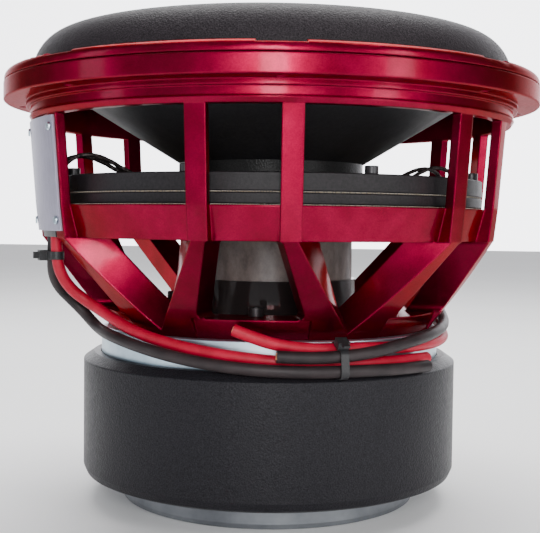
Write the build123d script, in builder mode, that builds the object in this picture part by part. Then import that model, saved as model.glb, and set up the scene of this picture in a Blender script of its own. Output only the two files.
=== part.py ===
from build123d import *
from math import cos, degrees, pi, radians, sin, tan
import os

os.makedirs("parts", exist_ok=True)

# Car subwoofer, millimetres. +Z is the way the cone faces, z = 0 is the bottom of the back plate,
# and angles are measured about +Z from -Y towards +X.

# ---------------------------------------------------------------- driving dimensions
FLANGE_R = 162.0            # mounting flange
FLANGE_BOTTOM = 237.8
FLANGE_TOP = 248.2
NECK_R = 149.0              # short step under the flange
NECK_BOTTOM = 234.6
SKIRT_R = 146.6             # wall between the flange and the windows
LIP_R = 147.2
LIP_TOP = 229.0
WINDOW_TOP = 226.3
LANDING_TOP = 176.8         # spider landing, which is also the bottom edge of the upper windows
LANDING_BOTTOM = 158.7      # the legs kink inwards here
BASE_TOP = 116.3
BASE_BOTTOM = 105.3
LEGS = 6                    # V legs
LEG_STEP = 360 / LEGS
SPOKE_OFFSET = 9.65         # spoke centre, from the centre of the narrow window
SPOKE_HALF_ANGLE = 2.2
SPOKE_TOP_R = 145.5
SPOKE_LANDING_R = 141.6
KINK_R = 139.5
FOOT_R = 99.5
ARM_DEPTH = 21.0            # radial depth of a leg
SPOKE_DEPTH = 5.6           # radial depth of a spoke beside the upper windows

HOLES = 8                   # mounting holes and trim notches
HOLE_ANGLE = 7.0
HOLE_PITCH_R = 153.5
HOLE_R = 2.8

RING_R = 129.3              # the two black rings on the landing
RING_BORE_R = 107.5
SPACER_BOTTOM = 177.5
SPACER_TOP = 183.4
CLAMP_BOTTOM = 184.1
CLAMP_TOP = 193.8
SPIDER_T = 0.7
RING_BOLTS = 8
RING_BOLT_ANGLE = 30.0
RING_BOLT_PITCH_R = 124.6

FORMER_R = 51.0
FORMER_WALL = 0.5
FORMER_BOTTOM = 56.0
FORMER_TOP = 203.0
WINDING_BOTTOM = 58.0
WINDING_TOP = 134.0
WINDING_R = 53.2

CONE_NECK_R = 51.15
CONE_NECK_Z = 200.6
CONE_RIM_R = 113.0
CONE_RIM_Z = 237.7
CONE_T = 2.6                # measured along Z

ROLL_R = 124.8              # middle of the surround's roll
ROLL_HALF = 21.0
ROLL_TOP = 278.0
ROLL_OUTER_FOOT = 252.0
ROLL_INNER_FOOT = 240.5
RUBBER_T = 1.8

PLATE_R = 103.9             # top plate
PLATE_BORE_R = 55.5
PLATE_BOTTOM = 86.0
MAGNET_R = 110.0
MAGNET_BORE_R = 62.0
MAGNETS = 3
BACK_R = 91.0               # the part of the back plate that shows
BACK_FLANGE_R = 104.0
BACK_STEP = 18.8
BACK_TOP = 27.0
POLE_R = 48.0
POLE_TOP = 113.0
VENT_R = 20.0
BOOT_R = 114.6
BOOT_WALL = 4.2
BOOT_BOTTOM = 15.0
BOOT_SHOULDER = 84.8
BOOT_TOP = 89.0

LEAD_R = 3.3
TINSEL_R = 1.3


# ---------------------------------------------------------------- helpers
def polar(angle, radius, height):
    """A point given by its angle from -Y, its radius and its height."""
    turn = radians(angle)
    return Vector(radius * sin(turn), -radius * cos(turn), height)


def facing(angle, radius=0.0, height=0.0):
    """A plane whose x axis points outwards at this angle and whose y axis is +Z."""
    outwards = polar(angle, 1, 0)
    return Plane(origin=polar(angle, radius, height), x_dir=outwards, z_dir=outwards.cross(Vector(0, 0, 1)))


def ring_angles(count, first):
    """Evenly spaced angles round the axis."""
    return [first + index * 360 / count for index in range(count)]


def on_circle(angles, radius):
    """Flat places on a circle, for sketches on a level plane."""
    return [(polar(angle, radius, 0).X, polar(angle, radius, 0).Y) for angle in angles]


def corner_radii(points):
    """The bend radius at each inner point: 0.45 of the shorter run over the tangent of half the turn."""
    radii = []
    for before, here, after in zip(points, points[1:], points[2:]):
        run_in, run_out = here - before, after - here
        half_turn = radians(run_in.get_angle(run_out)) / 2
        radii.append(0.45 * min(run_in.length, run_out.length) / tan(half_turn))
    return radii


def save(part, label):
    part.label = label
    export_step(part, f"parts/{label}.step")
    return part


def tube(label, route, radius):
    """A round cord along straight runs joined by tangent arcs."""
    points = [polar(*stop) for stop in route]
    radii = corner_radii(points)
    with BuildLine() as path:
        FilletPolyline(*points, radius=radii)
    wire = path.wire()
    with BuildPart() as cord:
        with BuildSketch(Plane(origin=wire @ 0, z_dir=wire % 0)):
            Circle(radius)
        sweep(path=wire)
    length = wire.length
    ratio = cord.part.volume / (pi * radius**2 * length)
    print(f"{label}: length {length:.0f}, volume ratio {ratio:.3f}, tightest bend {min(radii):.1f}")
    print("   radii", " ".join(f"{bend:.0f}" for bend in radii))
    return save(cord.part, label)


# ---------------------------------------------------------------- basket
def leg_outline(low, high):
    """Outer radius of the leg cone at two heights."""
    slope = (KINK_R - FOOT_R) / (LANDING_BOTTOM - BASE_BOTTOM)
    return [FOOT_R + slope * (height - BASE_BOTTOM) for height in (low, high)]


SPOKE_OUTER_ANGLE = SPOKE_OFFSET + SPOKE_HALF_ANGLE
SPOKE_INNER_ANGLE = SPOKE_OFFSET - SPOKE_HALF_ANGLE
WINDOW_CORNER_R = 3.5

narrow_angles = ring_angles(LEGS, 0)
wide_angles = ring_angles(LEGS, LEG_STEP / 2)


def sector(angle, half_angle, inner, outer, low, high, corner=0.0):
    """A wedge of a ring, used to cut a window; its four radial edges are rounded."""
    with BuildPart(mode=Mode.PRIVATE) as cutter:
        with BuildSketch(Plane.XY.offset(low)):
            with BuildLine():
                Polyline(
                    on_circle([angle - half_angle], inner)[0],
                    on_circle([angle - half_angle], outer)[0],
                    on_circle([angle + half_angle], outer)[0],
                    on_circle([angle + half_angle], inner)[0],
                    close=True,
                )
            make_face()
        extrude(amount=high - low)
        if corner:
            radial = [
                edge
                for edge in cutter.edges().filter_by(GeomType.LINE)
                if abs(edge.tangent_at(0).Z) < 0.01 and abs((edge @ 0).length - (edge @ 1).length) > (outer - inner) * 0.5
            ]
            fillet(radial, corner)
    return cutter.part


def leg_gap(angle):
    """The opening below the landing and between two neighbouring V legs."""
    top_half, bottom_half = 8.0, 18.7
    side = tan(radians((top_half + bottom_half) / 2))
    near, far = 80.0, 168.0
    sections = []
    for reach in (near, far):
        widths = []
        for half, radius in ((bottom_half, FOOT_R), (top_half, KINK_R)):
            depth = radius * cos(radians(half))
            widths.append(radius * sin(radians(half)) + (reach - depth) * side)
        slope = (widths[1] - widths[0]) / (LANDING_BOTTOM - BASE_BOTTOM)
        at_base = widths[0] + slope * (BASE_TOP - BASE_BOTTOM)
        place = Plane(
            origin=polar(angle, reach, 0),
            x_dir=polar(angle + 90, 1, 0),
            z_dir=polar(angle, 1, 0),
        )
        with BuildSketch(place) as section:
            with BuildLine():
                Polyline(
                    (-at_base, BASE_TOP),
                    (at_base, BASE_TOP),
                    (widths[1], LANDING_BOTTOM),
                    (-widths[1], LANDING_BOTTOM),
                    close=True,
                )
            make_face()
        sections.append(section.sketch.faces()[0])
    with BuildPart(mode=Mode.PRIVATE) as cutter:
        loft(sections, ruled=True)
        slanted = [edge for edge in cutter.edges() if abs(edge.tangent_at(0).Z) < 0.01 and edge.length > 80]
        fillet(slanted, 3.0)
    return cutter.part


def leg_vee(angle):
    """The triangular opening inside one V leg, whose sides lean inwards."""
    outer = [
        polar(angle - 18.9, KINK_R, LANDING_BOTTOM),
        polar(angle, FOOT_R + 4.0, BASE_BOTTOM + 1.2),
        polar(angle + 18.9, KINK_R, LANDING_BOTTOM),
    ]
    inner = [
        polar(angle - 12.2, KINK_R - ARM_DEPTH, LANDING_BOTTOM),
        polar(angle, 91.0, 120.5),
        polar(angle + 12.2, KINK_R - ARM_DEPTH, LANDING_BOTTOM),
    ]
    stretch_out, stretch_in = 0.55, 0.65
    faces = []
    for amount in (stretch_out, -1 - stretch_in):
        corners = [start + (start - end) * amount for start, end in zip(outer, inner)]
        with BuildLine() as border:
            Polyline(*corners, close=True)
        faces.append(Face(Wire(border.edges())))
    with BuildPart(mode=Mode.PRIVATE) as cutter:
        loft(faces, ruled=True)
    return cutter.part


def make_basket():
    leg_base, leg_top = leg_outline(BASE_BOTTOM, LANDING_BOTTOM)
    with BuildPart() as basket:
        # six V legs, as a cone with its openings cut away
        with BuildSketch(Plane.XZ):
            with BuildLine():
                Polyline(
                    (leg_base, BASE_BOTTOM),
                    (leg_top, LANDING_BOTTOM),
                    (leg_top - ARM_DEPTH, LANDING_BOTTOM),
                    (86.5, BASE_TOP),
                    (72.0, BASE_TOP),
                    (72.0, BASE_BOTTOM),
                    close=True,
                )
            make_face()
        revolve(axis=Axis.Z)
        for angle in narrow_angles:
            add(leg_gap(angle), mode=Mode.SUBTRACT)
        for angle in wide_angles:
            add(leg_vee(angle), mode=Mode.SUBTRACT)
        # between the legs the base ring stands back a little
        for angle in narrow_angles:
            with BuildSketch(facing(angle)):
                with BuildLine():
                    Polyline(
                        (FOOT_R - 1.0, BASE_BOTTOM),
                        (FOOT_R + 12.0, BASE_BOTTOM),
                        (FOOT_R + 12.0, BASE_TOP + 0.5),
                        (FOOT_R + 4.3, BASE_TOP + 0.5),
                        close=True,
                    )
                make_face()
            revolve(axis=Axis.Z, revolution_arc=17.5, mode=Mode.SUBTRACT)
            with BuildSketch(facing(angle)):
                with BuildLine():
                    Polyline(
                        (FOOT_R - 1.0, BASE_BOTTOM),
                        (FOOT_R + 12.0, BASE_BOTTOM),
                        (FOOT_R + 12.0, BASE_TOP + 0.5),
                        (FOOT_R + 4.3, BASE_TOP + 0.5),
                        close=True,
                    )
                make_face()
            revolve(axis=Axis.Z, revolution_arc=-17.5, mode=Mode.SUBTRACT)
        # spider landing
        with BuildSketch(Plane.XZ):
            with BuildLine():
                Polyline(
                    (108.5, LANDING_TOP),
                    (136.4, LANDING_TOP),
                    (131.6, LANDING_BOTTOM),
                    (113.0, LANDING_BOTTOM),
                    close=True,
                )
            make_face()
        revolve(axis=Axis.Z)
        # twelve spokes
        for angle in narrow_angles:
            for side in (-1, 1):
                start = angle + side * SPOKE_OFFSET - SPOKE_HALF_ANGLE
                with BuildSketch(facing(start)):
                    with BuildLine():
                        Polyline(
                            (SPOKE_TOP_R, WINDOW_TOP + 1),
                            (SPOKE_LANDING_R, LANDING_TOP),
                            (KINK_R, LANDING_BOTTOM),
                            (KINK_R - ARM_DEPTH, LANDING_BOTTOM),
                            (SPOKE_LANDING_R - SPOKE_DEPTH, LANDING_TOP),
                            (SPOKE_TOP_R - SPOKE_DEPTH, WINDOW_TOP + 1),
                            close=True,
                        )
                    make_face()
                revolve(axis=Axis.Z, revolution_arc=2 * SPOKE_HALF_ANGLE)
        # skirt and flange
        with BuildSketch(Plane.XZ):
            with BuildLine():
                Polyline(
                    (SPOKE_TOP_R - SPOKE_DEPTH, WINDOW_TOP),
                    (SPOKE_TOP_R, WINDOW_TOP),
                    (LIP_R, LIP_TOP),
                    (SKIRT_R, LIP_TOP + 1.2),
                    (SKIRT_R, NECK_BOTTOM),
                    (NECK_R, NECK_BOTTOM),
                    (NECK_R, FLANGE_BOTTOM),
                    (FLANGE_R - 0.6, FLANGE_BOTTOM),
                    (FLANGE_R, FLANGE_BOTTOM + 0.6),
                    (FLANGE_R, FLANGE_TOP - 0.4),
                    (FLANGE_R - 0.4, FLANGE_TOP),
                    (SPOKE_TOP_R - SPOKE_DEPTH, FLANGE_TOP),
                    close=True,
                )
            make_face()
        revolve(axis=Axis.Z)
        # mounting holes, spider bolt holes and base bolt holes
        with BuildSketch(Plane.XY.offset(FLANGE_BOTTOM)):
            with Locations(*on_circle(ring_angles(HOLES, HOLE_ANGLE), HOLE_PITCH_R)):
                Circle(HOLE_R)
        extrude(amount=FLANGE_TOP - FLANGE_BOTTOM, mode=Mode.SUBTRACT)
        with BuildSketch(Plane.XY.offset(RING_BOLT_BOTTOM - 1)):
            with Locations(*on_circle(ring_angles(RING_BOLTS, RING_BOLT_ANGLE), RING_BOLT_PITCH_R)):
                Circle(RING_BOLT_R + 0.15)
        extrude(amount=LANDING_TOP - RING_BOLT_BOTTOM + 1, mode=Mode.SUBTRACT)
        with BuildSketch(Plane.XY.offset(BASE_BOTTOM)):
            with Locations(*on_circle(ring_angles(BASE_BOLTS, 0), BASE_BOLT_PITCH_R)):
                Circle(BASE_BOLT_R + 0.3)
        extrude(amount=BASE_TOP - BASE_BOTTOM, mode=Mode.SUBTRACT)
    return save(basket.part, "basket")


RING_BOLT_R = 2.0
RING_BOLT_BOTTOM = 166.0
BASE_BOLTS = 6
BASE_BOLT_PITCH_R = 79.0
BASE_BOLT_R = 2.5


def make_trim_ring():
    """Ring over the surround's outer foot, with a low notch at every mounting hole."""
    top = 254.6
    with BuildPart() as trim:
        with BuildSketch(Plane.XZ):
            with BuildLine():
                Polyline(
                    (146.4, FLANGE_TOP + RUBBER_T),
                    (157.6, FLANGE_TOP + RUBBER_T),
                    (157.6, FLANGE_TOP),
                    (160.9, FLANGE_TOP),
                    (160.9, FLANGE_TOP + 0.6),
                    (161.6, FLANGE_TOP + 0.6),
                    (161.6, top),
                    (146.4, top),
                    close=True,
                )
            make_face()
        revolve(axis=Axis.Z)
        rim = trim.edges().filter_by(GeomType.CIRCLE).group_by(Axis.Z)[-1].sort_by(SortBy.RADIUS)
        fillet(rim[-1], 4.2)
        notch = [sector(angle, 4.4, 120, 170, top - 1.5, top + 2) for angle in ring_angles(HOLES, HOLE_ANGLE)]
        add(notch, mode=Mode.SUBTRACT)
        with BuildSketch(Plane.XY.offset(FLANGE_TOP)):
            with Locations(*on_circle(ring_angles(HOLES, HOLE_ANGLE), HOLE_PITCH_R)):
                Circle(HOLE_R)
        extrude(amount=10, mode=Mode.SUBTRACT)
    return save(trim.part, "trim_ring")


def make_badge():
    """A curved plate that closes one narrow window, with four rivets."""
    angle, half = -LEG_STEP, SPOKE_OFFSET + 1.6
    low, high, gauge = LANDING_BOTTOM + 3.5, WINDOW_TOP - 1.0, 1.6
    with BuildPart() as plate:
        with BuildSketch(facing(angle - half)):
            with BuildLine():
                Polyline(
                    (spoke_outside(low), low),
                    (spoke_outside(LANDING_TOP), LANDING_TOP),
                    (spoke_outside(high), high),
                    (spoke_outside(high) + gauge, high),
                    (spoke_outside(LANDING_TOP) + gauge, LANDING_TOP),
                    (spoke_outside(low) + gauge, low),
                    close=True,
                )
            make_face()
        revolve(axis=Axis.Z, revolution_arc=2 * half)
    save(plate.part, "badge_plate")
    with BuildPart() as rivets:
        for height in (low + 6, high - 6):
            for side in (-1, 1):
                outwards = polar(angle + side * SPOKE_OFFSET, 1, 0)
                seat = polar(angle + side * SPOKE_OFFSET, spoke_outside(height) + gauge + 0.25, height)
                with BuildSketch(Plane(origin=seat, z_dir=outwards)):
                    Circle(2.4)
                extrude(amount=1.0, taper=25)
    save(rivets.part, "badge_rivets")


# ---------------------------------------------------------------- suspension
def cone_underside(radius):
    slope = (CONE_RIM_Z - CONE_NECK_Z) / (CONE_RIM_R - CONE_NECK_R)
    return CONE_NECK_Z + slope * (radius - CONE_NECK_R)


def quarter_roll(foot, half_width, rise, start):
    """A quarter of an ellipse: one side of the roll, from its foot to its crown."""
    return EllipticalCenterArc((ROLL_R, foot), half_width, rise, start_angle=start, arc_size=90)


def make_surround():
    outer_r, inner_r = ROLL_R + ROLL_HALF, ROLL_R - ROLL_HALF
    inner_rise = ROLL_TOP - ROLL_INNER_FOOT
    outer_rise = ROLL_TOP - ROLL_OUTER_FOOT
    lift = CONE_T + 0.3
    glue_edge = inner_r + 8.0
    with BuildPart() as surround:
        with BuildSketch(Plane.XZ):
            with BuildLine():
                crown_out = quarter_roll(ROLL_OUTER_FOOT, ROLL_HALF, outer_rise, 0)
                crown_in = quarter_roll(ROLL_INNER_FOOT, ROLL_HALF, inner_rise, 90)
                Line(crown_out @ 0, (outer_r, FLANGE_TOP + RUBBER_T))
                Polyline(
                    (outer_r, FLANGE_TOP + RUBBER_T),
                    (157.0, FLANGE_TOP + RUBBER_T),
                    (157.0, FLANGE_TOP),
                    (outer_r - RUBBER_T, FLANGE_TOP),
                    (outer_r - RUBBER_T, ROLL_OUTER_FOOT),
                )
                under_out = quarter_roll(ROLL_OUTER_FOOT, ROLL_HALF - RUBBER_T, outer_rise - RUBBER_T, 0)
                under_in = quarter_roll(ROLL_INNER_FOOT, ROLL_HALF - RUBBER_T, inner_rise - RUBBER_T, 90)
                Polyline(
                    under_in @ 1,
                    (inner_r + RUBBER_T, cone_underside(inner_r + RUBBER_T) + lift + RUBBER_T),
                    (glue_edge, cone_underside(glue_edge) + lift + RUBBER_T),
                    (glue_edge, cone_underside(glue_edge) + lift),
                    (inner_r, cone_underside(inner_r) + lift),
                    crown_in @ 1,
                )
            make_face()
        revolve(axis=Axis.Z)
    return save(surround.part, "surround")


def make_spider(label, middle):
    """A corrugated disc: flat where it is clamped and where it meets the former."""
    inner, outer = FORMER_R + 0.3, RING_R - 0.3
    roll_start, roll_end, waves, height = 58.0, 105.0, 6, 2.3
    steps = waves * 4
    crest = []
    for index in range(steps + 1):
        share = index / steps
        radius = roll_start + (roll_end - roll_start) * share
        crest.append((radius, middle + height * sin(2 * pi * waves * share)))
    with BuildPart() as spider:
        with BuildSketch(Plane.XZ):
            with BuildLine():
                for shift in (-SPIDER_T / 2, SPIDER_T / 2):
                    line = [(radius, z + shift) for radius, z in crest]
                    Line((inner, middle + shift), line[0])
                    Spline(*line)
                    Line(line[-1], (outer, middle + shift))
                Line((inner, middle - SPIDER_T / 2), (inner, middle + SPIDER_T / 2))
                Line((outer, middle - SPIDER_T / 2), (outer, middle + SPIDER_T / 2))
            make_face()
        revolve(axis=Axis.Z)
        with BuildSketch(Plane.XY.offset(middle - 1)):
            with Locations(*on_circle(ring_angles(RING_BOLTS, RING_BOLT_ANGLE), RING_BOLT_PITCH_R)):
                Circle(RING_BOLT_R + 0.15)
        extrude(amount=2, mode=Mode.SUBTRACT)
    return save(spider.part, label)


def make_ring(label, low, high):
    with BuildPart() as ring:
        with BuildSketch(Plane.XY.offset(low)):
            Circle(RING_R)
            Circle(RING_BORE_R, mode=Mode.SUBTRACT)
            with Locations(*on_circle(ring_angles(RING_BOLTS, RING_BOLT_ANGLE), RING_BOLT_PITCH_R)):
                Circle(RING_BOLT_R + 0.15, mode=Mode.SUBTRACT)
        extrude(amount=high - low)
        rims = ring.edges().filter_by(GeomType.CIRCLE).filter_by(lambda edge: edge.radius > RING_R - 0.01)
        chamfer(rims, 0.5)
    return save(ring.part, label)


def make_screws(label, angles, pitch, shank_r, low, seat, head_r, head_h, socket_r):
    """Socket-head screws, one separate solid each."""
    with BuildPart() as screws:
        places = on_circle(angles, pitch)
        with BuildSketch(Plane.XY.offset(low)):
            with Locations(*places):
                Circle(shank_r)
        extrude(amount=seat - low)
        with BuildSketch(Plane.XY.offset(seat)):
            with Locations(*places):
                Circle(head_r)
        extrude(amount=head_h)
        fillet(screws.edges().filter_by(GeomType.CIRCLE).group_by(Axis.Z)[-1], 0.5)
        with BuildSketch(Plane.XY.offset(seat + head_h - head_h * 0.6)):
            with Locations(*places):
                RegularPolygon(socket_r, 6)
        extrude(amount=head_h, mode=Mode.SUBTRACT)
    return save(screws.part, label)


# ---------------------------------------------------------------- moving assembly
def make_cone():
    with BuildPart() as cone:
        with BuildSketch(Plane.XZ):
            with BuildLine():
                Polyline(
                    (CONE_NECK_R, CONE_NECK_Z),
                    (CONE_RIM_R, CONE_RIM_Z),
                    (CONE_RIM_R, CONE_RIM_Z + CONE_T),
                    (CONE_NECK_R, CONE_NECK_Z + CONE_T),
                    close=True,
                )
            make_face()
        revolve(axis=Axis.Z)
    return save(cone.part, "cone")


def make_dust_cap():
    rim_r, height, wall = 78.0, 25.0, 1.6
    base = cone_underside(rim_r) + CONE_T + 0.1
    dome_r = (rim_r**2 + height**2) / (2 * height)
    centre = base + height - dome_r
    edge = rim_r - 6.0
    with BuildPart() as cap:
        with BuildSketch(Plane.XZ):
            with BuildLine():
                top = ThreePointArc(
                    (rim_r, base),
                    (dome_r * sin(radians(15)), centre + dome_r * cos(radians(15))),
                    (0, base + height),
                )
                Line(top @ 1, (0, base + height - wall))
                inner_r = dome_r - wall
                inner_edge = (edge, centre + (inner_r**2 - edge**2) ** 0.5)
                low = ThreePointArc(
                    (0, base + height - wall),
                    (inner_r * sin(radians(12)), centre + inner_r * cos(radians(12))),
                    inner_edge,
                )
                Polyline(low @ 1, (edge, cone_underside(edge) + CONE_T + 0.1), (rim_r, base))
            make_face()
        revolve(axis=Axis.Z)
    return save(cap.part, "dust_cap")


def make_tube(label, inner, outer, low, high):
    with BuildPart() as sleeve:
        with BuildSketch(Plane.XY.offset(low)):
            Circle(outer)
            Circle(inner, mode=Mode.SUBTRACT)
        extrude(amount=high - low)
    return save(sleeve.part, label)


def make_collar():
    """Glue collar that ties the cone's neck to the former."""
    inner, outer, low = FORMER_R + 0.05, 57.0, 192.5
    with BuildPart() as collar:
        with BuildSketch(Plane.XZ):
            with BuildLine():
                Polyline(
                    (inner, low),
                    (outer - 2.5, low),
                    (outer, low + 4.0),
                    (outer, cone_underside(outer) - 0.1),
                    (inner, cone_underside(inner) - 0.1),
                    close=True,
                )
            make_face()
        revolve(axis=Axis.Z)
    return save(collar.part, "neck_collar")


# ---------------------------------------------------------------- motor
def make_motor():
    magnet_h = (PLATE_BOTTOM - BACK_TOP) / MAGNETS
    for index in range(MAGNETS):
        low = BACK_TOP + index * magnet_h
        with BuildPart() as magnet:
            with BuildSketch(Plane.XY.offset(low)):
                Circle(MAGNET_R)
                Circle(MAGNET_BORE_R, mode=Mode.SUBTRACT)
            extrude(amount=magnet_h)
            chamfer(magnet.edges().filter_by(GeomType.CIRCLE), 0.8)
        save(magnet.part, f"magnet_{index + 1}")

    with BuildPart() as plate:
        with BuildSketch(Plane.XY.offset(PLATE_BOTTOM)):
            Circle(PLATE_R)
            Circle(PLATE_BORE_R, mode=Mode.SUBTRACT)
        extrude(amount=BASE_BOTTOM - PLATE_BOTTOM)
        rims = plate.edges().filter_by(GeomType.CIRCLE).filter_by(lambda edge: edge.radius > PLATE_R - 0.01)
        chamfer(rims, 0.6)
        with BuildSketch(Plane.XY.offset(BASE_BOLT_BOTTOM - 1)):
            with Locations(*on_circle(ring_angles(BASE_BOLTS, 0), BASE_BOLT_PITCH_R)):
                Circle(BASE_BOLT_R + 0.15)
        extrude(amount=BASE_BOTTOM - BASE_BOLT_BOTTOM + 1, mode=Mode.SUBTRACT)
    save(plate.part, "top_plate")

    with BuildPart() as back:
        with BuildSketch(Plane.XZ):
            with BuildLine():
                Polyline(
                    (VENT_R + 7, 0),
                    (BACK_R - 3.5, 0),
                    (BACK_R - 1, 1),
                    (BACK_R, 3.5),
                    (BACK_R, BACK_STEP),
                    (BACK_FLANGE_R, BACK_STEP),
                    (BACK_FLANGE_R, BACK_TOP),
                    (VENT_R, BACK_TOP),
                    (VENT_R, 9),
                    close=True,
                )
            make_face()
        revolve(axis=Axis.Z)
    save(back.part, "back_plate")

    with BuildPart() as pole:
        with BuildSketch(Plane.XZ):
            with BuildLine():
                Polyline(
                    (VENT_R, BACK_TOP),
                    (POLE_R, BACK_TOP),
                    (POLE_R, POLE_TOP - 1.5),
                    (POLE_R - 1.5, POLE_TOP),
                    (VENT_R + 8, POLE_TOP),
                    (VENT_R, POLE_TOP - 10),
                    close=True,
                )
            make_face()
        revolve(axis=Axis.Z)
    save(pole.part, "pole_piece")
    make_tube("shorting_ring", POLE_R + 0.05, POLE_R + 1.7, BACK_TOP + 4, PLATE_BOTTOM - 2)

    with BuildPart() as screen:
        with BuildSketch(Plane.XY.offset(BACK_TOP - 1.2)):
            Circle(VENT_R - 0.1)
            with HexLocations(2.6, 7, 7):
                Circle(1.5, mode=Mode.SUBTRACT)
        extrude(amount=0.8)
    save(screen.part, "vent_screen")

    inside = BOOT_R - BOOT_WALL
    with BuildPart() as boot:
        with BuildSketch(Plane.XZ):
            with BuildLine():
                Polyline(
                    (BACK_R + 0.6, BOOT_BOTTOM),
                    (BOOT_R - 6.0, BOOT_BOTTOM),
                    (BOOT_R - 1.8, BOOT_BOTTOM + 1.8),
                    (BOOT_R, BOOT_BOTTOM + 6.0),
                    (BOOT_R, BOOT_SHOULDER),
                    (BOOT_R - 6.2, BOOT_TOP),
                    (PLATE_R + 0.4, BOOT_TOP),
                    (PLATE_R + 0.4, PLATE_BOTTOM + 0.2),
                    (inside, PLATE_BOTTOM + 0.2),
                    (inside, BACK_STEP - 0.2),
                    (BACK_R + 0.6, BACK_STEP - 0.2),
                    close=True,
                )
            make_face()
        revolve(axis=Axis.Z)
        outside = boot.edges().filter_by(GeomType.CIRCLE).filter_by(lambda edge: edge.radius > BOOT_R - 2)
        fillet(outside, 0.9)
    save(boot.part, "magnet_boot")


BASE_BOLT_BOTTOM = 94.0


# ---------------------------------------------------------------- terminals, leads and ties
TERMINAL_SIDES = {"left": -60.0, "right": 120.0}
TERMINAL_HALF_ANGLE = 6.4
TERMINAL_GAP = 0.3
LUG_SPREAD = 6.0
LUG_R = 138.6
LUG_TOP = 190.0


def landing_outside(height):
    return 131.6 + (136.4 - 131.6) * (height - LANDING_BOTTOM) / (LANDING_TOP - LANDING_BOTTOM)


def spoke_outside(height):
    if height > LANDING_TOP:
        slope = (SPOKE_TOP_R - SPOKE_LANDING_R) / (WINDOW_TOP + 1 - LANDING_TOP)
        return SPOKE_LANDING_R + slope * (height - LANDING_TOP)
    slope = (SPOKE_LANDING_R - KINK_R) / (LANDING_TOP - LANDING_BOTTOM)
    return KINK_R + slope * (height - LANDING_BOTTOM)


def make_terminals():
    """A block on the outside of the landing at each side, with two solder lugs standing in it."""
    for side, angle in TERMINAL_SIDES.items():
        with BuildPart() as block:
            with BuildSketch(facing(angle - TERMINAL_HALF_ANGLE)):
                with BuildLine():
                    Polyline(
                        (landing_outside(LANDING_BOTTOM) + 0.05, LANDING_BOTTOM),
                        (spoke_outside(LANDING_BOTTOM) - TERMINAL_GAP, LANDING_BOTTOM),
                        (spoke_outside(LANDING_TOP) - TERMINAL_GAP, LANDING_TOP),
                        (landing_outside(LANDING_TOP) + 0.05, LANDING_TOP),
                        close=True,
                    )
                make_face()
            revolve(axis=Axis.Z, revolution_arc=2 * TERMINAL_HALF_ANGLE)
            for shift in (-1, 1):
                with BuildSketch(lug_plane(angle, shift, LANDING_TOP - 9)):
                    Rectangle(5.1, 1.1)
                extrude(amount=10, mode=Mode.SUBTRACT)
        save(block.part, f"terminal_{side}")
    with BuildPart() as lugs:
        for angle in TERMINAL_SIDES.values():
            for shift in (-1, 1):
                with BuildSketch(lug_plane(angle, shift, LANDING_TOP - 9)):
                    Rectangle(5.0, 1.0)
                extrude(amount=LUG_TOP - LANDING_TOP + 9)
                eye = lug_plane(angle, shift, LUG_TOP - 3.2).origin
                outwards = polar(angle, 1, 0)
                with BuildSketch(Plane(origin=eye - outwards * 2, z_dir=outwards)):
                    Circle(1.1)
                extrude(amount=4, mode=Mode.SUBTRACT)
    save(lugs.part, "terminal_lugs")


def lug_plane(angle, shift, height):
    sideways = polar(angle + 90, 1, 0)
    origin = polar(angle, LUG_R, height) + sideways * (shift * LUG_SPREAD)
    return Plane(origin=origin, x_dir=sideways, z_dir=(0, 0, 1))


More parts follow.
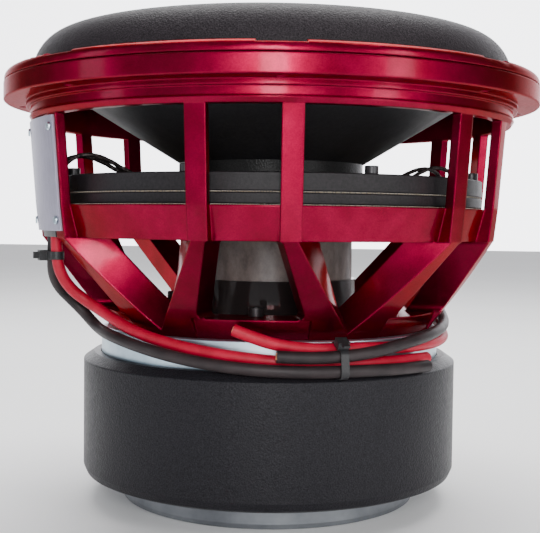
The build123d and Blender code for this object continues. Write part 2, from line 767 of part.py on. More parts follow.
# Lead routes: angle, radius, height. Each starts under its terminal block and ends in a cut end
# at the front. They lie against the top plate, two deep and two high.
LEAD_ROUTES = {
    "lead_left_red": [
        (-58.2, 135.5, 158.7), (-58.2, 135.5, 146.4), (-58.2, 132.6, 136.4), (-58.9, 126.4, 128.4),
        (-58.3, 118.9, 122.4), (-54.4, 111.8, 116.6), (-48.3, 108.6, 112.2), (-40.5, 108, 108.0),
        (-31.5, 108, 104.6), (-22, 108, 101.6), (-12.5, 108, 99.0), (-2.5, 108, 96.8),
        (7, 108, 95.2), (17.5, 108.6, 94.1), (27.5, 108.6, 93.9), (38, 108.5, 93.3),
        (49, 109.2, 92.8), (60, 109.8, 92.6),
    ],
    "lead_left_black": [
        (-61.8, 135.5, 158.7), (-61.8, 135.5, 148.4), (-62.2, 135.6, 138.0), (-64.2, 131.4, 129.4),
        (-66.2, 124.2, 122.4), (-66.4, 116.6, 114.8), (-63.2, 111.2, 107.8), (-57.2, 110.0, 104.9),
        (-49.4, 111.8, 104.0), (-41.6, 113.0, 102.4), (-33.6, 113.8, 100.2), (-25.4, 114, 97.6),
        (-17, 114, 95.2), (-8, 114, 93.0), (1, 114.4, 91.6), (10, 115.2, 90.8),
        (19, 116.0, 90.5), (28.5, 116.0, 90.5), (38, 115.5, 90.0), (47, 115.4, 89.6),
        (55.5, 115.4, 89.4),
    ],
    "lead_right_red": [
        (118.2, 135.5, 158.7), (118.2, 135.5, 146.8), (118.2, 132.8, 136.6), (118.8, 126.2, 128.2),
        (118.4, 118.6, 121.0), (115.4, 111.8, 113.8), (109.8, 108.6, 107.2), (102, 108, 103.2),
        (92, 108, 101.0), (81.5, 108, 100.2), (71, 108, 99.8), (60.5, 108, 99.8),
        (50.5, 108, 100.0), (41.5, 108, 100.8), (33, 108.4, 101.4), (24, 108.6, 101.4),
        (15.5, 108.4, 101.8), (7.5, 108, 104.0), (0.8, 108.2, 107.8), (-4.6, 108.4, 111.6),
    ],
    "lead_right_black": [
        (121.8, 135.5, 158.7), (121.8, 135.5, 147.2), (121.2, 137.8, 137.0), (120.2, 134.8, 127.0),
        (118.8, 127.4, 119.2), (114.6, 119.4, 114.6), (108, 113.6, 112.2), (99.5, 110.0, 110.2),
        (90.5, 108.4, 108.8), (80.5, 108.2, 107.9), (71, 109.8, 107.4), (62, 112.4, 106.8),
        (53, 114.7, 105.3), (44.5, 115.2, 103.2), (37, 115.2, 100.6), (29.5, 115, 98.9),
        (22, 114.9, 98.1), (14.5, 114.9, 97.9), (7.4, 115.2, 98.8),
    ],
}

# Tinsel routes run from the solder lug, over the clamp ring and down to the former.
TINSEL_ARCH = [
    (136.4, 186.8), (134.2, 195.5), (128.0, 203.6), (118.0, 206.2), (107.5, 203.4),
    (96.5, 197.4), (84.5, 192.6), (72.5, 190.2), (62.0, 189.4), (52.6, 189.2),
]


def make_tinsels():
    for side, angle in TERMINAL_SIDES.items():
        for place, shift in (("front", 1), ("rear", -1)):
            towards_front = shift if side == "left" else -shift
            spread = degrees(LUG_SPREAD / TINSEL_ARCH[0][0])
            route = []
            for index, (radius, height) in enumerate(TINSEL_ARCH):
                fan = spread * (1 + 0.16 * index)
                wander = 0.5 * sin(1.9 * index + shift)
                route.append((angle + towards_front * fan + wander, radius, height))
            tube(f"tinsel_{side}_{place}", route, TINSEL_R)


TIE_GAUGE = 0.6
TIE_SLACK = 0.35
TIE_WIDTH = 4.6
FRONT_TIE_ANGLE = 25.0
LEFT_TIE_HEIGHT = 148.0


def make_tie(label, plane, strands, blocks):
    """A band pulled tight round several leads, centred on the plane, with its lock and cut tail."""
    with BuildPart() as tie:
        for grow, how in ((TIE_GAUGE, Mode.ADD), (0.0, Mode.SUBTRACT)):
            with BuildSketch(plane.offset(-TIE_WIDTH / 2)):
                with Locations(*strands):
                    Circle(LEAD_R + TIE_SLACK + grow)
                make_hull()
            extrude(amount=TIE_WIDTH, mode=how)
        for centre, turn, size, width in blocks:
            with BuildSketch(plane.offset(-width / 2)):
                with Locations(Location((*centre, 0), turn)):
                    Rectangle(*size)
            extrude(amount=width)
    return save(tie.part, label)


def make_ties():
    """One tie round the four leads in front, one round the left pair below its terminal block."""
    make_tie(
        "zip_tie_front",
        facing(FRONT_TIE_ANGLE),
        [(108.25, 101.4), (114.7, 98.45), (115.6, 90.5), (108.2, 93.95)],
        [((114.2, 105.1), -24, (6.0, 4.4), 6.4), ((118.6, 104.9), -24, (5.0, 1.2), 3.8)],
    )
    make_tie(
        "zip_tie_left",
        Plane.XY.offset(LEFT_TIE_HEIGHT),
        on_circle([-58.2], 135.4) + on_circle([-61.85], 135.5),
        [
            (on_circle([-61.8], 141.7)[0], -150, (4.4, 6.0), 6.0),
            (on_circle([-62.4], 145.0)[0], -150, (3.4, 1.3), 3.8),
        ],
    )


# ---------------------------------------------------------------- build everything
def main():
    make_basket()
    make_trim_ring()
    make_badge()
    make_surround()
    make_spider("spider_lower", SPACER_BOTTOM - SPIDER_T / 2)
    make_spider("spider_upper", CLAMP_BOTTOM - SPIDER_T / 2)
    make_ring("spider_spacer_ring", SPACER_BOTTOM, SPACER_TOP)
    make_ring("spider_clamp_ring", CLAMP_BOTTOM, CLAMP_TOP)
    bolt_angles = ring_angles(RING_BOLTS, RING_BOLT_ANGLE)
    make_screws(
        "spider_bolts", bolt_angles, RING_BOLT_PITCH_R, RING_BOLT_R, RING_BOLT_BOTTOM, CLAMP_TOP, 3.6, 4.2, 1.7
    )
    make_screws(
        "base_bolts", ring_angles(BASE_BOLTS, 0), BASE_BOLT_PITCH_R, BASE_BOLT_R, BASE_BOLT_BOTTOM, BASE_TOP,
        4.3, 5.0, 2.3
    )
    make_cone()
    make_dust_cap()
    make_tube("coil_former", FORMER_R - FORMER_WALL, FORMER_R, FORMER_BOTTOM, FORMER_TOP)
    make_tube("coil_winding", FORMER_R + 0.05, WINDING_R, WINDING_BOTTOM, WINDING_TOP)
    make_collar()
    make_motor()
    make_terminals()
    for label, route in LEAD_ROUTES.items():
        tube(label, route, LEAD_R)
    make_tinsels()
    make_ties()


main()
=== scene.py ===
import bpy
import bmesh
import math
from mathutils import Matrix, Vector


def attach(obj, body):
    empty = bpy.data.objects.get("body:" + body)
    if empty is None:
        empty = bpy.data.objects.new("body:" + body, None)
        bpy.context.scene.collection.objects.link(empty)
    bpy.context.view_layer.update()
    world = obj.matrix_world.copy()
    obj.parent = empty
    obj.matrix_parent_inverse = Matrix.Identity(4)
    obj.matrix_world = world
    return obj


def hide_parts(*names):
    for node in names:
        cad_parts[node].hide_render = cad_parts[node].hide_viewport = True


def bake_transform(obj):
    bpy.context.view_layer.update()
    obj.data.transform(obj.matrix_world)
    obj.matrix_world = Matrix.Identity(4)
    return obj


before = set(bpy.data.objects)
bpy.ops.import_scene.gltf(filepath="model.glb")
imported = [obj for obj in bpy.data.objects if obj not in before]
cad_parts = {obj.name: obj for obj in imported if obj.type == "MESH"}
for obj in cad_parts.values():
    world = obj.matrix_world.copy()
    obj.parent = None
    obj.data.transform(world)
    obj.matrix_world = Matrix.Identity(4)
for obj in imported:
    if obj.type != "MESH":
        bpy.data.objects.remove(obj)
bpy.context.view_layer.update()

MM = 0.001


def polar(angle, radius, height):
    """A point from its angle (from -Y towards +X), radius and height, all in millimetres and degrees."""
    turn = math.radians(angle)
    return Vector((radius * math.sin(turn), -radius * math.cos(turn), height)) * MM


# ---------------------------------------------------------------- materials
class Shader:
    """A Principled material with a few short ways to add procedural detail."""

    def __init__(self, name, colour, metallic=0.0, roughness=0.5, **sockets):
        self.material = bpy.data.materials.new(name)
        self.material.use_nodes = True
        self.tree = self.material.node_tree
        self.bsdf = self.tree.nodes["Principled BSDF"]
        self.bsdf.inputs["Base Color"].default_value = (*colour, 1)
        self.bsdf.inputs["Metallic"].default_value = metallic
        self.bsdf.inputs["Roughness"].default_value = roughness
        for key, value in sockets.items():
            self.bsdf.inputs[key.replace("_", " ")].default_value = value
        self.coord = self.tree.nodes.new("ShaderNodeTexCoord")
        self.normal = None

    def node(self, kind, **values):
        made = self.tree.nodes.new(kind)
        for key, value in values.items():
            setattr(made, key, value)
        return made

    def link(self, start, end):
        self.tree.links.new(start, end)

    def place(self, stretch=(1, 1, 1)):
        mapping = self.node("ShaderNodeMapping")
        mapping.inputs["Scale"].default_value = stretch
        self.link(self.coord.outputs["Object"], mapping.inputs["Vector"])
        return mapping.outputs["Vector"]

    def noise(self, scale, detail=4.0, rough=0.55, stretch=(1, 1, 1)):
        tex = self.node("ShaderNodeTexNoise")
        tex.inputs["Scale"].default_value = scale
        tex.inputs["Detail"].default_value = detail
        tex.inputs["Roughness"].default_value = rough
        self.link(self.place(stretch), tex.inputs["Vector"])
        return tex.outputs["Fac"]

    def voronoi(self, scale, output="Distance", randomness=1.0, stretch=(1, 1, 1)):
        tex = self.node("ShaderNodeTexVoronoi")
        tex.inputs["Scale"].default_value = scale
        tex.inputs["Randomness"].default_value = randomness
        self.link(self.place(stretch), tex.inputs["Vector"])
        return tex.outputs[output]

    def ramp(self, value, stops):
        made = self.node("ShaderNodeValToRGB")
        band = made.color_ramp
        while len(band.elements) < len(stops):
            band.elements.new(0.5)
        for element, (place, colour) in zip(band.elements, stops):
            element.position = place
            element.color = (*colour, 1)
        self.link(value, made.inputs["Fac"])
        return made.outputs["Color"]

    def scale_value(self, value, low, high):
        made = self.node("ShaderNodeMapRange")
        made.inputs["To Min"].default_value = low
        made.inputs["To Max"].default_value = high
        self.link(value, made.inputs["Value"])
        return made.outputs["Result"]

    def blend(self, kind, factor, first, second):
        """Mixes two colours. A Mix node keeps its colour sockets after those for floats and vectors."""
        made = self.node("ShaderNodeMix", data_type="RGBA", blend_type=kind)
        made.inputs[0].default_value = factor
        for index, value in ((6, first), (7, second)):
            self.link(value, made.inputs[index])
        return made.outputs[2]

    def colour(self, value):
        self.link(value, self.bsdf.inputs["Base Color"])

    def rough(self, value):
        self.link(value, self.bsdf.inputs["Roughness"])

    def bump(self, height, distance, strength=1.0):
        made = self.node("ShaderNodeBump")
        made.inputs["Distance"].default_value = distance
        made.inputs["Strength"].default_value = strength
        self.link(height, made.inputs["Height"])
        if self.normal is not None:
            self.link(self.normal, made.inputs["Normal"])
        self.normal = made.outputs["Normal"]
        self.link(self.normal, self.bsdf.inputs["Normal"])

    def soft_edges(self, radius):
        made = self.node("ShaderNodeBevel", samples=6)
        made.inputs["Radius"].default_value = radius
        self.normal = made.outputs["Normal"]
        self.link(self.normal, self.bsdf.inputs["Normal"])
        self.link(self.normal, self.bsdf.inputs["Coat Normal"])


def candy_red(name):
    """Clear-coated metallic red with fine flakes."""
    paint = Shader(
        name, (0.3, 0.0005, 0.02), metallic=1.0, roughness=0.36, Coat_Weight=0.25, Coat_Roughness=0.12,
        Coat_IOR=1.35, Specular_Tint=(0.55, 0.004, 0.05, 1),
    )
    paint.soft_edges(0.0013)
    flakes = paint.voronoi(1900, output="Color")
    depth = paint.ramp(paint.noise(55, 3), [(0.3, (0.17, 0.0001, 0.016)), (0.75, (0.28, 0.0001, 0.034))])
    glints = paint.ramp(flakes, [(0.15, (0.35, 0.3, 0.32)), (0.85, (1, 1, 1))])
    paint.colour(paint.blend("MULTIPLY", 0.34, depth, glints))
    paint.rough(paint.scale_value(paint.noise(420, 3), 0.27, 0.43))
    paint.bump(flakes, 0.00006, 0.35)
    return paint.material


RUBBER_GRAIN = 900          # grains per metre of the moulded rubber


def rubber(name, low, high, roughness):
    """Moulded rubber with a fine leathery grain and dusty speckle."""
    made = Shader(name, low, roughness=roughness, Specular_IOR_Level=0.14)
    speckle = made.noise(RUBBER_GRAIN * 1.6, 5, 0.75)
    made.colour(made.ramp(speckle, [(0.36, low), (0.62, high)]))
    made.rough(made.scale_value(made.noise(RUBBER_GRAIN * 0.35, 4), roughness - 0.1, roughness + 0.12))
    made.bump(made.voronoi(RUBBER_GRAIN), 0.00025, 0.6)
    made.bump(made.noise(140, 4), 0.0004, 0.25)
    return made.material


def turned_metal(name, low, high, roughness, tint=None, metallic=1.0):
    """Plated steel with fine lathe lines round the axis and a patchy shine."""
    made = Shader(name, low, metallic=metallic, roughness=roughness)
    made.soft_edges(0.0006)
    lines = made.noise(60, 6, 0.7, stretch=(0.3, 0.3, 60))
    patches = made.noise(26, 4, 0.6)
    colour = made.ramp(patches, [(0.3, low), (0.72, high)])
    if tint:
        stain = made.ramp(made.noise(9, 3), [(0.35, tint), (0.7, (1, 1, 1))])
        colour = made.blend("MULTIPLY", 0.45, colour, stain)
    made.colour(colour)
    made.rough(made.scale_value(lines, roughness - 0.09, roughness + 0.14))
    made.bump(lines, 0.00012, 0.35)
    return made.material


def moulded(name, low, high, roughness, grain=1200, bump=0.00012):
    """Moulded plastic with fine grain."""
    made = Shader(name, low, roughness=roughness, Specular_IOR_Level=0.3)
    made.soft_edges(0.0005)
    speckle = made.noise(grain, 5, 0.7)
    made.colour(made.ramp(speckle, [(0.35, low), (0.68, high)]))
    made.rough(made.scale_value(made.noise(grain * 0.2, 4), roughness - 0.07, roughness + 0.1))
    made.bump(speckle, bump, 0.5)
    return made.material


def woven(name, low, high, roughness, pitch):
    """Cloth: two crossed sets of threads."""
    made = Shader(name, low, roughness=roughness, Sheen_Weight=0.3)
    threads = []
    for direction in ("X", "Y"):
        wave = made.node("ShaderNodeTexWave", wave_type="BANDS", bands_direction=direction)
        wave.inputs["Scale"].default_value = pitch
        wave.inputs["Distortion"].default_value = 0.6
        made.link(made.place(), wave.inputs["Vector"])
        threads.append(wave.outputs["Fac"])
    weave = made.node("ShaderNodeMath", operation="MAXIMUM")
    made.link(threads[0], weave.inputs[0])
    made.link(threads[1], weave.inputs[1])
    made.colour(made.ramp(weave.outputs[0], [(0.25, low), (0.9, high)]))
    made.rough(made.scale_value(made.noise(300, 3), roughness - 0.08, roughness + 0.08))
    made.bump(weave.outputs[0], 0.0003, 0.7)
    return made.material


def cone_paper():
    made = Shader("cone_fibre", (0.012, 0.012, 0.014), roughness=0.55)
    fibre = made.noise(500, 6, 0.75, stretch=(1, 1, 0.5))
    made.colour(made.ramp(fibre, [(0.35, (0.006, 0.006, 0.008)), (0.7, (0.022, 0.021, 0.024))]))
    made.rough(made.scale_value(made.noise(90, 4), 0.42, 0.66))
    made.bump(fibre, 0.0003, 0.6)
    return made.material


def former_sleeve():
    """Glass-fibre sleeve, mottled, with the fine lines of its winding."""
    made = Shader("former_sleeve", (0.2, 0.16, 0.14), roughness=0.38)
    cloud = made.noise(120, 6, 0.7, stretch=(1, 1, 0.5))
    mottle = made.ramp(cloud, [(0.32, (0.075, 0.055, 0.05)), (0.7, (0.21, 0.165, 0.15))])
    specks = made.ramp(made.noise(700, 3), [(0.3, (0.5, 0.5, 0.5)), (0.7, (1, 1, 1))])
    made.colour(made.blend("MULTIPLY", 0.35, mottle, specks))
    made.rough(made.scale_value(made.noise(200, 4), 0.26, 0.5))
    made.bump(made.noise(900, 4, 0.6, stretch=(0.2, 0.2, 1.6)), 0.00016, 0.5)
    return made.material


def wound_wire(name, low, high, pitch):
    made = Shader(name, low, roughness=0.3, Coat_Weight=0.4)
    wave = made.node("ShaderNodeTexWave", wave_type="BANDS", bands_direction="Z")
    wave.inputs["Scale"].default_value = pitch
    made.link(made.place(), wave.inputs["Vector"])
    made.colour(made.ramp(wave.outputs["Fac"], [(0.2, low), (0.9, high)]))
    made.rough(made.scale_value(made.noise(300, 3), 0.24, 0.42))
    made.bump(wave.outputs["Fac"], 0.0003, 0.8)
    return made.material


def lead_skin(name, low, high):
    """Soft matte insulation with smudges."""
    made = Shader(name, low, roughness=0.5, Specular_IOR_Level=0.3)
    smudge = made.noise(75, 5, 0.65)
    made.colour(made.ramp(smudge, [(0.3, low), (0.72, high)]))
    made.rough(made.scale_value(made.noise(160, 4), 0.38, 0.62))
    made.bump(made.noise(1500, 3), 0.00008, 0.5)
    return made.material


def braid(name, low, high):
    made = Shader(name, low, metallic=0.8, roughness=0.38)
    cells = made.voronoi(1300, randomness=0.6, stretch=(1, 1, 0.6))
    made.colour(made.ramp(cells, [(0.1, high), (0.7, low)]))
    made.rough(made.scale_value(cells, 0.3, 0.55))
    made.bump(cells, 0.0004, 0.9)
    return made.material


def badge_metal():
    """Pale anodised plate with a fine vertical brush."""
    made = Shader("badge_anodised", (0.6, 0.58, 0.68), metallic=0.55, roughness=0.4)
    made.soft_edges(0.0005)
    brush = made.noise(90, 5, 0.7, stretch=(14, 14, 0.6))
    made.colour(made.ramp(brush, [(0.3, (0.26, 0.25, 0.33)), (0.75, (0.42, 0.40, 0.50))]))
    made.rough(made.scale_value(brush, 0.32, 0.5))
    made.bump(brush, 0.00008, 0.4)
    return made.material


RED = candy_red("basket_red")
BLACK_METAL = turned_metal("black_oxide", (0.02, 0.02, 0.022), (0.06, 0.058, 0.06), 0.36, metallic=0.7)
RING = moulded("ring_black", (0.002, 0.0015, 0.002), (0.014, 0.011, 0.013), 0.5, grain=650, bump=0.0003)
NYLON = moulded("nylon_black", (0.012, 0.012, 0.013), (0.03, 0.03, 0.032), 0.34)
ZINC = turned_metal("zinc_plate", (0.42, 0.5, 0.56), (0.72, 0.8, 0.86), 0.33, tint=(0.7, 0.92, 1.0))
# the back plate is the same silver zinc plating as the top plate; its darker colours are painted shade
SHADED_BACK_ZINC = turned_metal("back_zinc_painted_shade", (0.16, 0.17, 0.19), (0.34, 0.36, 0.38), 0.42, metallic=0.9)
FERRITE = moulded("ferrite", (0.03, 0.03, 0.032), (0.075, 0.075, 0.08), 0.6, grain=500)
RUBBER = rubber("surround_rubber", (0.004, 0.003, 0.004), (0.036, 0.030, 0.034), 0.52)
BOOT = rubber("boot_rubber", (0.003, 0.003, 0.004), (0.022, 0.021, 0.025), 0.42)
TINSEL = braid("tinsel_braid", (0.012, 0.010, 0.011), (0.10, 0.075, 0.07))
SPIDER = woven("spider_cloth", (0.10, 0.06, 0.015), (0.32, 0.22, 0.08), 0.8, 220)
LOOKS = {
    "basket": RED,
    "trim_ring": candy_red("trim_red"),
    "badge_plate": badge_metal(),
    "badge_rivets": ZINC,
    "cone": cone_paper(),
    "dust_cap": moulded(
        "cap_gloss", (0.008, 0.008, 0.009), (0.02, 0.02, 0.022), 0.2, grain=300, bump=0.00003
    ),
    "neck_collar": rubber("glue", (0.01, 0.01, 0.01), (0.03, 0.03, 0.03), 0.35),
    "coil_former": former_sleeve(),
    "coil_winding": wound_wire("winding_wire", (0.006, 0.005, 0.006), (0.03, 0.022, 0.022), 900),
    "spider_spacer_ring": RING,
    "spider_clamp_ring": RING,
    "spider_bolts": BLACK_METAL,
    "base_bolts": BLACK_METAL,
    "magnet_1": FERRITE,
    "magnet_2": FERRITE,
    "magnet_3": FERRITE,
    "top_plate": ZINC,
    "back_plate": SHADED_BACK_ZINC,
    "pole_piece": turned_metal("pole_steel", (0.16, 0.16, 0.17), (0.32, 0.32, 0.33), 0.35),
    "shorting_ring": turned_metal("copper", (0.6, 0.26, 0.13), (0.8, 0.4, 0.22), 0.3),
    "vent_screen": BLACK_METAL,
    "magnet_boot": BOOT,
    "terminal_left": NYLON,
    "terminal_right": NYLON,
    "terminal_lugs": turned_metal("lug_brass", (0.55, 0.42, 0.2), (0.8, 0.66, 0.36), 0.3),
    "zip_tie_front": NYLON,
    "zip_tie_left": NYLON,
}
for node, look in LOOKS.items():
    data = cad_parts[node].data
    data.materials.clear()
    data.materials.append(look)


# ---------------------------------------------------------------- round soft parts, in sectors
def lathe_sector(name, profile, first, last, steps, look):
    """A piece of a body of revolution between two angles. The profile is a loop of (radius, height)."""
    count = len(profile)
    mesh = bpy.data.meshes.new(name)
    points, faces = [], []
    for step in range(steps + 1):
        angle = first + (last - first) * step / steps
        points += [polar(angle, radius, height) for radius, height in profile]
    for step in range(steps):
        for index in range(count):
            nxt = (index + 1) % count
            a, b = step * count + index, step * count + nxt
            faces.append((a, a + count, b + count, b))
    mesh.from_pydata(points, [], faces)
    mesh.materials.append(look)
    mesh.polygons.foreach_set("use_smooth", [True] * len(mesh.polygons))
    normals = profile_normals(profile)
    loops = []
    for step in range(steps + 1):
        angle = math.radians(first + (last - first) * step / steps)
        for across, up in normals:
            loops.append((across * math.sin(angle), -across * math.cos(angle), up))
    mesh.normals_split_custom_set_from_vertices(loops)
    obj = bpy.data.objects.new(name, mesh)
    bpy.context.scene.collection.objects.link(obj)
    return obj


def profile_normals(profile):
    """Outward normals of a closed loop that runs anticlockwise in (radius, height)."""
    count = len(profile)
    normals = []
    for index in range(count):
        before, after = profile[index - 1], profile[(index + 1) % count]
        along = Vector((after[0] - before[0], after[1] - before[1])).normalized()
        normals.append((along.y, -along.x))
    return normals


def round_soft(node, profile, look, sectors, steps):
    """Sectors of a soft ring, lathed round the axis in place of the CAD part, which is hidden."""
    for index in range(sectors):
        first, last = 360 * index / sectors, 360 * (index + 1) / sectors
        piece = lathe_sector(f"{node}_{index + 1:02d}", profile, first, last, steps, look)
        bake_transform(piece)
        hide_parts(node)


def quarter(centre, half, foot, rise, start, stop, count):
    """Points along part of an ellipse, angles in degrees."""
    line = []
    for index in range(count + 1):
        turn = math.radians(start + (stop - start) * index / count)
        line.append((centre + half * math.cos(turn), foot + rise * math.sin(turn)))
    return line


ROLL_R, ROLL_HALF, ROLL_TOP = 124.8, 21.0, 278.0
OUTER_FOOT, INNER_FOOT, SKIN = 252.0, 240.5, 1.8
SEAT = 248.2


def surround_profile():
    """Half roll with a moulded bead at each foot, anticlockwise from the outer bead."""
    outer = quarter(ROLL_R, ROLL_HALF, OUTER_FOOT, ROLL_TOP - OUTER_FOOT, 0, 90, 22)
    inner = quarter(ROLL_R, ROLL_HALF, INNER_FOOT, ROLL_TOP - INNER_FOOT, 90, 180, 26)[1:]
    under_in = quarter(ROLL_R, ROLL_HALF - SKIN, INNER_FOOT, ROLL_TOP - INNER_FOOT - SKIN, 180, 90, 26)
    under_out = quarter(ROLL_R, ROLL_HALF - SKIN, OUTER_FOOT, ROLL_TOP - OUTER_FOOT - SKIN, 90, 0, 22)[1:]
    seat_top = [(157.0, SEAT), (157.0, SEAT + SKIN), (147.4, SEAT + SKIN), (146.2, SEAT + SKIN + 0.4)]
    lip = [(103.8, 235.2), (108.0, 237.6), (111.8, 239.9), (111.8, 241.7), (107.2, 239.2), (105.6, 239.3)]
    return seat_top + outer + inner + lip + under_in + under_out + [(144.0, SEAT)]


round_soft("surround", surround_profile(), RUBBER, 36, 4)


SPIDER_BORE_R, SPIDER_RIM_R = 51.3, 129.0
WAVES_START_R, WAVES_WIDTH = 58.0, 47.0
WAVES, WAVE_HEIGHT = 6, 2.3
WAVE_STEPS = 72
HALF_CLOTH = 0.33


def spider_profile(middle):
    """Corrugated cloth disc, flat where it is clamped."""
    line = [(SPIDER_BORE_R, middle), (56.0, middle)]
    for index in range(WAVE_STEPS + 1):
        share = index / WAVE_STEPS
        wave = WAVE_HEIGHT * math.sin(2 * math.pi * WAVES * share)
        line.append((WAVES_START_R + WAVES_WIDTH * share, middle + wave))
    line += [(107.0, middle), (SPIDER_RIM_R, middle)]
    below = [(radius, height - HALF_CLOTH) for radius, height in line]
    above = [(radius, height + HALF_CLOTH) for radius, height in reversed(line)]
    return below + above


for node, middle in (("spider_lower", 177.15), ("spider_upper", 183.75)):
    round_soft(node, spider_profile(middle), SPIDER, 18, 5)

# ---------------------------------------------------------------- leads
LEAD_D = 0.0066
LEAD_ROUTES = {
    "lead_left_red": [
        (-58.2, 135.5, 158.7), (-58.2, 135.5, 146.4), (-58.2, 132.6, 136.4), (-58.9, 126.4, 128.4),
        (-58.3, 118.9, 122.4), (-54.4, 111.8, 116.6), (-48.3, 108.6, 112.2), (-40.5, 108, 108.0),
        (-31.5, 108, 104.6), (-22, 108, 101.6), (-12.5, 108, 99.0), (-2.5, 108, 96.8),
        (7, 108, 95.2), (17.5, 108.6, 94.1), (27.5, 108.6, 93.9), (38, 108.5, 93.3),
        (49, 109.2, 92.8), (60, 109.8, 92.6),
    ],
    "lead_left_black": [
        (-61.8, 135.5, 158.7), (-61.8, 135.5, 148.4), (-62.2, 135.6, 138.0), (-64.2, 131.4, 129.4),
        (-66.2, 124.2, 122.4), (-66.4, 116.6, 114.8), (-63.2, 111.2, 107.8), (-57.2, 110.0, 104.9),
        (-49.4, 111.8, 104.0), (-41.6, 113.0, 102.4), (-33.6, 113.8, 100.2), (-25.4, 114, 97.6),
        (-17, 114, 95.2), (-8, 114, 93.0), (1, 114.4, 91.6), (10, 115.2, 90.8),
        (19, 116.0, 90.5), (28.5, 116.0, 90.5), (38, 115.5, 90.0), (47, 115.4, 89.6),
        (55.5, 115.4, 89.4),
    ],
    "lead_right_red": [
        (118.2, 135.5, 158.7), (118.2, 135.5, 146.8), (118.2, 132.8, 136.6), (118.8, 126.2, 128.2),
        (118.4, 118.6, 121.0), (115.4, 111.8, 113.8), (109.8, 108.6, 107.2), (102, 108, 103.2),
        (92, 108, 101.0), (81.5, 108, 100.2), (71, 108, 99.8), (60.5, 108, 99.8),
        (50.5, 108, 100.0), (41.5, 108, 100.8), (33, 108.4, 101.4), (24, 108.6, 101.4),
        (15.5, 108.4, 101.8), (7.5, 108, 104.0), (0.8, 108.2, 107.8), (-4.6, 108.4, 111.6),
    ],
    "lead_right_black": [
        (121.8, 135.5, 158.7), (121.8, 135.5, 147.2), (121.2, 137.8, 137.0), (120.2, 134.8, 127.0),
        (118.8, 127.4, 119.2), (114.6, 119.4, 114.6), (108, 113.6, 112.2), (99.5, 110.0, 110.2),
        (90.5, 108.4, 108.8), (80.5, 108.2, 107.9), (71, 109.8, 107.4), (62, 112.4, 106.8),
        (53, 114.7, 105.3), (44.5, 115.2, 103.2), (37, 115.2, 100.6), (29.5, 115, 98.9),
        (22, 114.9, 98.1), (14.5, 114.9, 97.9), (7.4, 115.2, 98.8),
    ],
}
SKINS = {
    "red": lead_skin("lead_red", (0.30, 0.0003, 0.014), (0.47, 0.001, 0.032)),
    "black": lead_skin("lead_black", (0.010, 0.007, 0.008), (0.032, 0.022, 0.023)),
}
STRAND = braid("copper_strands", (0.35, 0.14, 0.07), (0.85, 0.45, 0.25))


STRAND_FOOT_R, STRAND_TIP_R, STRAND_LENGTH = 0.41, 0.33, 0.9
STRAND_RINGS = ((6, 0.8), (12, 1.6))        # how many, and on what radius


def strand_end(name, at, along):
    """Cut copper strands that show in the middle of a lead's end."""
    mesh = bpy.data.meshes.new(name)
    build = bmesh.new()
    spots = [(0.0, 0.0)]
    for ring, (count, radius) in enumerate(STRAND_RINGS):
        for index in range(count):
            turn = 2 * math.pi * (index + 0.3 * ring) / count
            spots.append((radius * math.cos(turn), radius * math.sin(turn)))
    turned = along.to_track_quat("Z", "Y").to_matrix().to_4x4()
    for x, y in spots:
        move = Matrix.Translation(at) @ turned @ Matrix.Translation(Vector((x * MM, y * MM, 0.0)))
        bmesh.ops.create_cone(
            build, cap_ends=True, segments=10, matrix=move,
            radius1=STRAND_FOOT_R * MM, radius2=STRAND_TIP_R * MM, depth=STRAND_LENGTH * MM,
        )
    build.to_mesh(mesh)
    build.free()
    mesh.materials.append(STRAND)
    obj = bpy.data.objects.new(name, mesh)
    bpy.context.scene.collection.objects.link(obj)
    return obj


for node, route in LEAD_ROUTES.items():
    curve = bpy.data.curves.new(node + "_cord", "CURVE")
    curve.dimensions = "3D"
    spline = curve.splines.new("NURBS")
    points = [polar(*stop) for stop in route]
    spline.points.add(len(points) - 1)
    for point, place in zip(spline.points, points):
        point.co = (*place, 1)
    spline.order_u = 3
    spline.use_endpoint_u = True
    spline.resolution_u = 10
    curve.bevel_depth = LEAD_D / 2
    curve.bevel_resolution = 6
    curve.use_fill_caps = True
    colour = node.split("_")[-1]
    curve.materials.append(SKINS[colour])
    cord = bpy.data.objects.new(node + "_cord", curve)
    bpy.context.scene.collection.objects.link(cord)
    end = strand_end(node + "_strands", points[-1], (points[-1] - points[-2]).normalized())
    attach(cord, "frame")
    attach(end, "frame")
    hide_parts(node)

# ---------------------------------------------------------------- tinsel leads
TINSEL_ARCH = [
    (136.4, 186.8), (134.2, 195.5), (128.0, 203.6), (118.0, 206.2), (107.5, 203.4),
    (96.5, 197.4), (84.5, 192.6), (72.5, 190.2), (62.0, 189.4), (52.6, 189.2),
]
LUG_SPREAD = 6.0
TINSEL_R = 1.3
AROUND = 20                 # faces round a wire
STRANDS = 5                 # ridges round a wire


def smooth_path(points, count):
    """Quadratic B-spline of a clamped control polygon, with count points to each piece."""
    middles = [(a + b) / 2 for a, b in zip(points, points[1:])]
    bounds = [points[0]] + middles[1:-1] + [points[-1]]
    line = []
    for index in range(len(bounds) - 1):
        start, control, stop = bounds[index], points[index + 1], bounds[index + 1]
        for step in range(count):
            t = step / count
            line.append(start * (1 - t) ** 2 + control * 2 * t * (1 - t) + stop * t * t)
    line.append(points[-1])
    return line


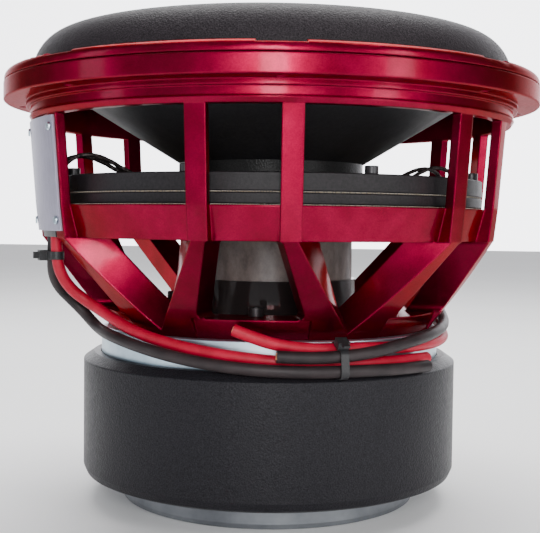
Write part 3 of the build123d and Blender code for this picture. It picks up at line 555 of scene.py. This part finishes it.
def tinsel_mesh(name, line):
    """Braided wire: a tube whose surface is twisted into strands."""
    mesh = bpy.data.meshes.new(name)
    points, faces = [], []
    upward = Vector((0, 0, 1))
    for index, place in enumerate(line):
        before, after = line[max(index - 1, 0)], line[min(index + 1, len(line) - 1)]
        along = (after - before).normalized()
        side = along.cross(upward).normalized()
        top = side.cross(along).normalized()
        for step in range(AROUND):
            turn = 2 * math.pi * step / AROUND
            ridge = 1 + 0.09 * math.cos(STRANDS * (turn + index * 0.16))
            radius = TINSEL_R * MM * ridge * 0.96
            points.append(place + side * (radius * math.cos(turn)) + top * (radius * math.sin(turn)))
    for index in range(len(line) - 1):
        for step in range(AROUND):
            nxt = (step + 1) % AROUND
            a, b = index * AROUND + step, index * AROUND + nxt
            faces.append((a, b, b + AROUND, a + AROUND))
    last = (len(line) - 1) * AROUND
    faces.append(tuple(reversed(range(AROUND))))
    faces.append(tuple(range(last, last + AROUND)))
    mesh.from_pydata(points, [], faces)
    mesh.polygons.foreach_set("use_smooth", [True] * len(mesh.polygons))
    mesh.materials.append(TINSEL)
    obj = bpy.data.objects.new(name, mesh)
    bpy.context.scene.collection.objects.link(obj)
    return obj


for side, angle in (("left", -60.0), ("right", 120.0)):
    for place, shift in (("front", 1), ("rear", -1)):
        node = f"tinsel_{side}_{place}"
        towards_front = shift if side == "left" else -shift
        spread = math.degrees(LUG_SPREAD / TINSEL_ARCH[0][0])
        stops = []
        for index, (radius, height) in enumerate(TINSEL_ARCH):
            fan = spread * (1 + 0.16 * index)
            wander = 0.5 * math.sin(1.9 * index + shift)
            stops.append(polar(angle + towards_front * fan + wander, radius, height))
        line = smooth_path(stops, 12)
        wire = tinsel_mesh(node + "_braid", line)
        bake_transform(wire)
        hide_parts(node)

# ---------------------------------------------------------------- floor, light and camera
floor_mesh = bpy.data.meshes.new("floor")
FLOOR = 6                   # half its side, in metres
corners = [(-FLOOR, -FLOOR, 0), (FLOOR, -FLOOR, 0), (FLOOR, FLOOR, 0), (-FLOOR, FLOOR, 0)]
floor_mesh.from_pydata(corners, [], [(0, 1, 2, 3)])
floor = bpy.data.objects.new("floor", floor_mesh)
bpy.context.scene.collection.objects.link(floor)
pale = Shader("floor_pale", (0.9, 0.9, 0.9), roughness=0.85, Specular_IOR_Level=0.2)
pale.colour(pale.ramp(pale.noise(3, 2), [(0.3, (0.9, 0.9, 0.9)), (0.7, (0.93, 0.93, 0.93))]))
floor_mesh.materials.append(pale.material)

world = bpy.data.worlds.new("studio")
bpy.context.scene.world = world
world.use_nodes = True
sky = world.node_tree
background = sky.nodes["Background"]
where = sky.nodes.new("ShaderNodeTexCoord")
parts = sky.nodes.new("ShaderNodeSeparateXYZ")
sky.links.new(where.outputs["Generated"], parts.inputs["Vector"])
bands = sky.nodes.new("ShaderNodeValToRGB")
# brightness along Y, from the camera's side to the far side
stops = [(0.0, 0.55), (0.30, 0.30), (0.50, 0.22), (0.76, 0.18), (0.90, 2.6), (1.0, 4.4)]
while len(bands.color_ramp.elements) < len(stops):
    bands.color_ramp.elements.new(0.5)
for element, (place, value) in zip(bands.color_ramp.elements, stops):
    element.position = place
    element.color = (value, value, value * 1.04, 1)
depth = sky.nodes.new("ShaderNodeMapRange")
depth.inputs["From Min"].default_value = -1
depth.inputs["From Max"].default_value = 1
sky.links.new(parts.outputs["Y"], depth.inputs["Value"])
sky.links.new(depth.outputs["Result"], bands.inputs["Fac"])
sky.links.new(bands.outputs["Color"], background.inputs["Color"])
background.inputs["Strength"].default_value = 1.15


def softbox(name, place, target, width, height, power, colour=(1, 1, 1)):
    light = bpy.data.lights.new(name, "AREA")
    light.shape = "RECTANGLE"
    light.size, light.size_y = width, height
    light.energy = power
    light.color = colour
    obj = bpy.data.objects.new(name, light)
    obj.location = place
    obj.rotation_euler = (Vector(target) - Vector(place)).to_track_quat("-Z", "Y").to_euler()
    bpy.context.scene.collection.objects.link(obj)


softbox("key", (0.16, -1.5, 0.5), (0, 0, 0.17), 0.26, 0.6, 14)
softbox("fill_right", (1.25, -0.9, 0.45), (0, 0, 0.16), 0.3, 0.8, 8)
softbox("fill_left", (-1.4, -0.6, 0.5), (0, 0, 0.16), 0.3, 0.8, 3, (0.85, 0.9, 1.0))
softbox("top", (0, 0.5, 1.6), (0, 0.3, 0.1), 1.6, 1.2, 46)

camera = bpy.data.objects.new("camera", bpy.data.cameras.new("camera"))
camera.data.sensor_width = 36.0
camera.data.lens = 68.96
camera.data.clip_start = 0.01
HEADING, PITCH, ROLL = 5.45, 2.49, 0.66
EYE_R, EYE_HEIGHT = 648, 168.7
camera.matrix_world = (
    Matrix.Translation(polar(HEADING, EYE_R, EYE_HEIGHT))
    @ Matrix.Rotation(math.radians(HEADING), 4, "Z")
    @ Matrix.Rotation(math.radians(90 - PITCH), 4, "X")
    @ Matrix.Rotation(math.radians(ROLL), 4, "Z")
)
bpy.context.scene.collection.objects.link(camera)
bpy.context.scene.camera = camera
